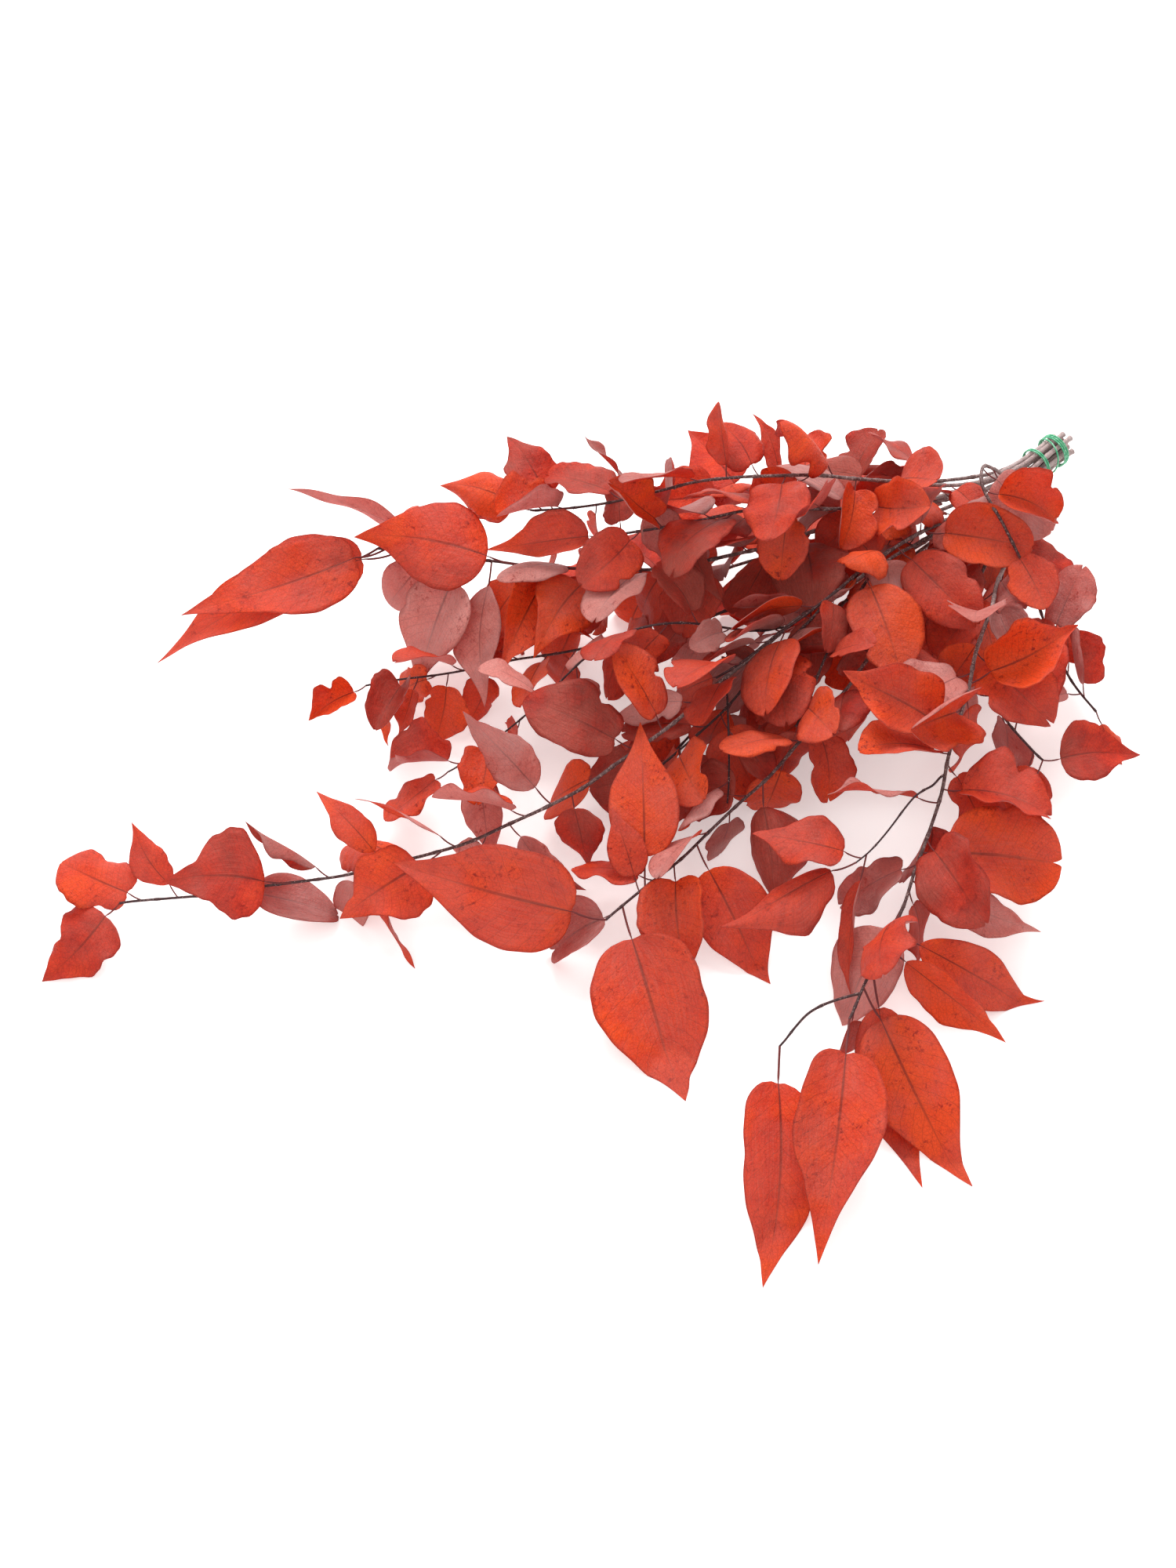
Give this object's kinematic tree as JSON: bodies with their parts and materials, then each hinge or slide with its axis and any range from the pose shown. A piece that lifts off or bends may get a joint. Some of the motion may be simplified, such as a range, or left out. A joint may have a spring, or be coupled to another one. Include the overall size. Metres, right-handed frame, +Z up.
{
  "type": "tied bunch of preserved eucalyptus branches",
  "caption": "Bunch of dyed, preserved eucalyptus branches tied with wire near the cut ends; leafy stems fan out and lie on a table.",
  "frame": {"origin": "middle of the bunch's footprint, on the table it lies on", "axes": "+X along the tied stems towards their cut ends, +Z up from the table, +Y to the left when looking along +X"},
  "size_m": [0.7538, 0.6246, 0.1834],
  "materials": {
    "branch": "dark red-brown bark with dyed, matt red leaves grown on it",
    "leaf": "matt, slightly waxy dyed red leaf with a darker midrib and a paler underside",
    "tie_wire": "satin green coated wire"
  },
  "bodies": {
    "root": {"branch_centre_crest": "branch", "branch_centre_low": "branch", "branch_grey_top": "branch", "branch_hanging_leaves": "branch", "branch_long_left": "branch", "branch_low_pile": "branch", "branch_lower_left": "branch", "branch_lower_right": "branch", "branch_middle_thin": "branch", "branch_right_arc": "branch", "branch_right_low": "branch", "branch_top_arc": "branch", "branch_top_right": "branch", "branch_upper_back": "branch", "branch_upper_left": "branch", "leaf_centre_crest_1": "leaf", "leaf_centre_crest_2": "leaf", "leaf_centre_crest_3": "leaf", "leaf_grey_top_1": "leaf", "leaf_long_left_1": "leaf", "leaf_long_left_2": "leaf", "leaf_long_left_3": "leaf", "leaf_long_left_4": "leaf", "leaf_lower_left_1": "leaf", "leaf_lower_left_2": "leaf", "leaf_lower_left_3": "leaf", "leaf_lower_left_4": "leaf", "leaf_lower_left_5": "leaf", "leaf_lower_right_1": "leaf", "leaf_lower_right_10": "leaf", "leaf_lower_right_11": "leaf", "leaf_lower_right_2": "leaf", "leaf_lower_right_3": "leaf", "leaf_lower_right_4": "leaf", "leaf_lower_right_5": "leaf", "leaf_lower_right_6": "leaf", "leaf_lower_right_7": "leaf", "leaf_lower_right_8": "leaf", "leaf_lower_right_9": "leaf", "leaf_right_low_1": "leaf", "leaf_right_low_2": "leaf", "leaf_top_right_1": "leaf", "leaf_twig_long_left_1": "leaf", "leaf_twig_lower_right_1": "leaf", "leaf_twig_lower_right_2": "leaf", "leaf_twig_tip_1": "leaf", "leaf_upper_left_1": "leaf", "leaf_upper_left_2": "leaf", "leaf_upper_left_3": "leaf", "leaf_upper_left_4": "leaf", "leaf_upper_left_5": "leaf", "leaf_upper_left_6": "leaf", "leaf_upper_left_7": "leaf", "leaf_upper_left_8": "leaf", "leaf_upper_left_9": "leaf", "tie_wire": "tie_wire", "twig_drop": "branch", "twig_long_left": "branch", "twig_lower_right": "branch", "twig_tip": "branch"}
  },
  "joints": []
}
